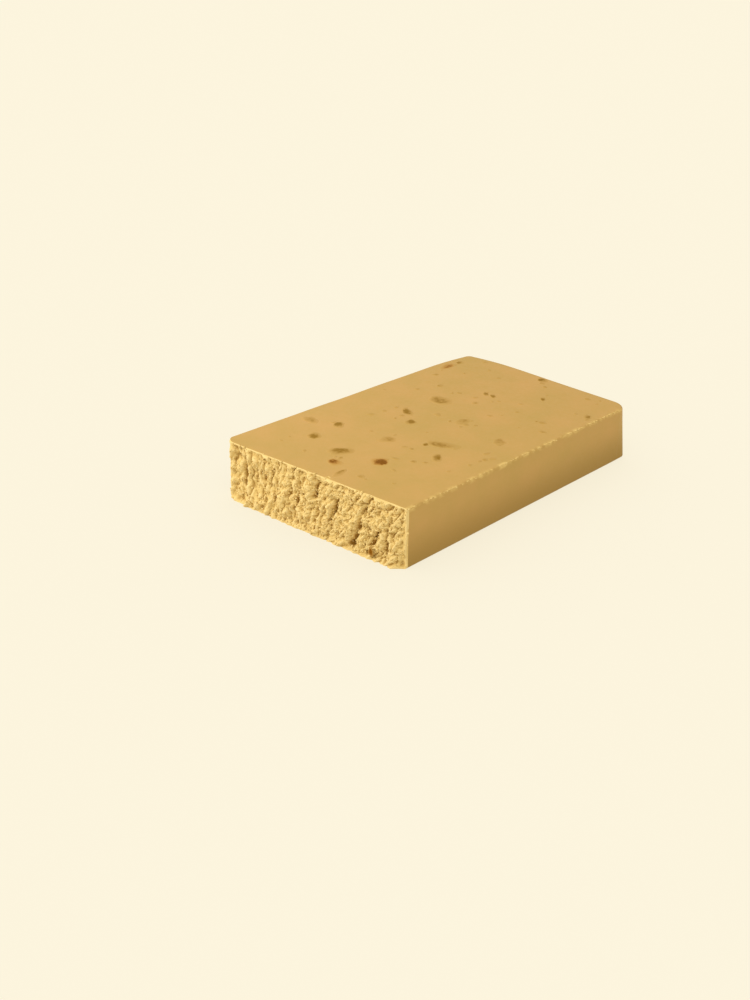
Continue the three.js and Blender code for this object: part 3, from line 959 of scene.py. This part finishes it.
class NOUGAT_OT_crumbs(bpy.types.Operator):
    """Strew loose crumbs over the broken end and along the +X top edge"""

    bl_idname = "nougat.crumbs"
    bl_label = "Crumbs"

    def execute(self, context):
        crumb = context.scene.nougat_break_sizes
        sizes = context.scene.nougat_slab_sizes
        bm = bmesh.new()
        layer = bm.verts.layers.float.new("painted_shade_and_tone")
        self.on_break(bm, layer, crumb, sizes, random.Random(BREAK_CRUMB_SEED))
        self.on_edge(bm, layer, crumb, sizes, random.Random(BURR_SEED))
        piece = new_object("nougat_crumbs", bm, [bpy.data.materials["broken almond paste"]])
        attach(piece, BODY)
        return {"FINISHED"}

    def on_break(self, bm, layer, crumb, sizes, draw):
        """Crumbs that cling to the broken face, clear of its worn edge and its foot."""
        slab = bpy.data.objects["nougat_paste"].data
        edge = CRUMB_FROM_CORNER * sizes.break_corner - half_width()
        foot = CRUMB_FROM_FOOT * crumb.crumb_most
        broken = [p for p in slab.polygons if p.material_index and p.normal.y < -CRUMB_FACING]
        broken = [p for p in broken if p.center.x > edge and p.center.z > foot]
        if not broken:
            raise RuntimeError("the slab has no broken face to strew crumbs on")
        for face in draw.choices(broken, weights=[p.area for p in broken], k=crumb.crumb_count):
            width = blend(crumb.crumb_least, crumb.crumb_most, draw.random() ** CRUMB_SMALLNESS)
            place = Matrix.Translation(face.center + CRUMB_HEIGHT * width * face.normal)
            crumb_bit(bm, layer, draw, place, (width, width, width), draw.uniform(*CRUMB_TONES))

    def on_edge(self, bm, layer, crumb, sizes, draw):
        """Burr of crumbs along the +X top edge, thick in some stretches and thin in others."""
        inset = sizes.edge_radius * (1 - math.sqrt(0.5))
        near = break_plane(half_width(), sizes.height)
        for _ in range(crumb.burr_count):
            y = draw.uniform(near, far_end() - sizes.right_corner)
            width = crumb.crumb_least * draw.uniform(*BURR_WIDTHS)
            x = half_width() - BURR_INSET * inset + draw.gauss(0, BURR_SCATTER * MM)
            place = Vector((x, y, sizes.height - BURR_DROP * inset))
            if arris_wear(place) > draw.uniform(*BURR_NEEDS):
                widths = (width, draw.uniform(*BURR_LENGTHS) * width, BURR_THICKNESS * width)
                crumb_bit(bm, layer, draw, Matrix.Translation(place), widths, draw.uniform(*BURR_TONES))


class NOUGAT_OT_almond_bits(bpy.types.Operator):
    """Set the chopped almond bits into the top and the broken end"""

    bl_idname = "nougat.almond_bits"
    bl_label = "Almond bits"

    def execute(self, context):
        colours = context.scene.nougat_colours
        flesh = almond("toasted almond", colours.flesh, colours.flesh_rim)
        skin = almond("almond skin", colours.skin, colours.skin_rim)
        faces = BVHTree.FromObject(bpy.data.objects["nougat_paste"], context.evaluated_depsgraph_get())
        bm = bmesh.new()
        self.set_in_top(bm, faces, FLESH_BITS + self.small_bits(random.Random(SMALL_BIT_SEED)))
        self.finish_piece("almond_flesh_bits", bm, flesh)
        bm = bmesh.new()
        self.set_in_top(bm, faces, SKIN_BITS)
        self.set_in_break(bm, faces, BREAK_SKIN_BIT)
        self.finish_piece("almond_skin_bits", bm, skin)
        return {"FINISHED"}

    def small_bits(self, draw):
        """Small faint bits strewn over the top, in the terms of the larger ones."""
        width = 2 * half_width() / MM
        length = bpy.context.scene.nougat_slab_sizes.right_length / MM
        bits = []
        for _ in range(SMALL_BIT_COUNT):
            long = draw.uniform(*SMALL_BIT_LENGTHS)
            across = draw.uniform(SMALL_BIT_FROM_SIDES, width - SMALL_BIT_FROM_SIDES)
            along = draw.uniform(SMALL_BIT_FROM_END, length - SMALL_BIT_FROM_BREAK)
            wide = long * draw.uniform(*SMALL_BIT_SLIMNESS)
            turn = draw.uniform(-90, 90)
            bits.append((across, along, long, wide, turn, draw.uniform(*SMALL_BIT_STRENGTHS)))
        return bits

    def set_in_top(self, bm, faces, bits):
        """Bits that lie flush in the top."""
        layer = bm.verts.layers.float.new("bare")
        for index, (across, along, length, width, turn, strength) in enumerate(bits):
            above = Vector((across * MM - half_width(), far_end() - along * MM, 2 * HIGH.z))
            spot = faces.ray_cast(above, -UP)[0] - TOP_BIT_SINK * MM * UP
            place = Matrix.Translation(spot) @ Matrix.Rotation(math.radians(turn), 4, "Z")
            seed = BIT_SEED_STEP * index
            lens_bit(bm, layer, place, length * MM, width * MM, TOP_BIT_RISE * MM, strength, seed)

    def set_in_break(self, bm, faces, bit):
        """Bit that stands upright in the broken face."""
        across, up, length, width, strength = bit
        before = Vector((across * MM - half_width(), LOW.y - RAY_START * MM, up * MM))
        spot = faces.ray_cast(before, INTO_BREAK)[0]
        place = Matrix.Translation(spot) @ Matrix.Rotation(math.pi / 2, 4, "X")
        layer = bm.verts.layers.float["bare"]
        rise = BREAK_BIT_RISE * MM
        lens_bit(bm, layer, place, width * MM, length * MM, rise, strength, BREAK_BIT_SEED)

    def finish_piece(self, name, bm, material):
        """Piece of almond that rides on the slab."""
        piece = new_object(name, bm, [material])
        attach(piece, BODY)


class NOUGAT_OT_studio(bpy.types.Operator):
    """Lay the floor, set the lights and place the camera"""

    bl_idname = "nougat.studio"
    bl_label = "Studio"

    def execute(self, context):
        scene = context.scene
        studio = scene.nougat_studio
        scene.view_settings.view_transform = "Standard"
        self.light(scene, studio)
        self.lay_floor(studio)
        self.place_camera(scene, studio)
        return {"FINISHED"}

    def lay_floor(self, studio):
        """Wide pale floor under the slab."""
        bm = bmesh.new()
        bmesh.ops.create_grid(bm, x_segments=4, y_segments=4, size=studio.floor_reach)
        new_object("studio_floor", bm, [light_table()])

    def light(self, scene, studio):
        """Even surroundings, a key on the nougat from the camera's left and a weak fill from its right."""
        world = bpy.data.worlds.new("studio")
        world.use_nodes = True
        sky = world.node_tree.nodes["Background"]
        sky.inputs["Color"].default_value = opaque(studio.backdrop)
        sky.inputs["Strength"].default_value = studio.ambient
        scene.world = world
        lit = bpy.data.collections.new("lit by the lamps")
        for piece in scene.collection.objects:
            if piece.type == "MESH":
                lit.objects.link(piece)
        for name, share, turn, rise in (
            ("key", studio.key_share, studio.key_turn, studio.key_rise),
            ("fill", studio.fill_share, studio.fill_turn, studio.fill_rise),
        ):
            light = bpy.data.lights.new(name, "AREA")
            light.shape = "DISK"
            light.size = studio.lamp_width
            # A face turned to the lamp gets this share of the light of surroundings of strength 1
            light.energy = math.pi**2 * studio.lamp_distance**2 * share
            lamp = bpy.data.objects.new(name, light)
            outwards = Vector((math.cos(rise), 0, math.sin(rise)))
            to_light = Matrix.Rotation(turn, 3, "Z") @ outwards
            lamp.location = Vector((0, 0, HIGH.z / 2)) + studio.lamp_distance * to_light
            lamp.rotation_euler = to_light.to_track_quat("Z", "Y").to_euler()
            lamp.light_linking.receiver_collection = lit
            scene.collection.objects.link(lamp)

    def place_camera(self, scene, studio):
        """Camera where the photograph was taken from."""
        lens = bpy.data.cameras.new("camera")
        lens.lens = studio.lens
        camera = bpy.data.objects.new("camera", lens)
        camera.location = (studio.camera_right, far_end() - studio.camera_back, studio.camera_height)
        camera.rotation_euler = (math.pi / 2 - studio.elevation, 0, studio.azimuth)
        scene.collection.objects.link(camera)
        scene.camera = camera


class NOUGAT_PT_sidebar(bpy.types.Panel):
    """Sizes, colours and building steps of the nougat"""

    bl_label = "Soft almond nougat"
    bl_idname = "NOUGAT_PT_sidebar"
    bl_space_type = "VIEW_3D"
    bl_region_type = "UI"
    bl_category = "Nougat"

    def draw(self, context):
        for group in GROUPS:
            settings = getattr(context.scene, group)
            box = self.layout.box()
            for name in settings.__annotations__:
                box.prop(settings, name)
        for step in BUILD_STEPS:
            self.layout.operator(step.bl_idname)


GROUPS = {
    "nougat_slab_sizes": NougatSlabSizes,
    "nougat_break_sizes": NougatBreakSizes,
    "nougat_colours": NougatColours,
    "nougat_studio": NougatStudio,
}
BUILD_STEPS = (NOUGAT_OT_slab, NOUGAT_OT_crumbs, NOUGAT_OT_almond_bits, NOUGAT_OT_studio)
CLASSES = (*GROUPS.values(), *BUILD_STEPS, NOUGAT_PT_sidebar)


def register():
    """Register the classes and hang the settings on the scene."""
    for made in CLASSES:
        bpy.utils.register_class(made)
    for name, group in GROUPS.items():
        setattr(bpy.types.Scene, name, bpy.props.PointerProperty(type=group))


def unregister():
    """Take the settings off the scene and unregister the classes."""
    for name in GROUPS:
        delattr(bpy.types.Scene, name)
    for made in reversed(CLASSES):
        bpy.utils.unregister_class(made)


def main():
    """Build every piece and the studio."""
    register()
    bpy.ops.nougat.slab()
    bpy.ops.nougat.crumbs()
    bpy.ops.nougat.almond_bits()
    bpy.ops.nougat.studio()


if __name__ == "__main__":
    main()
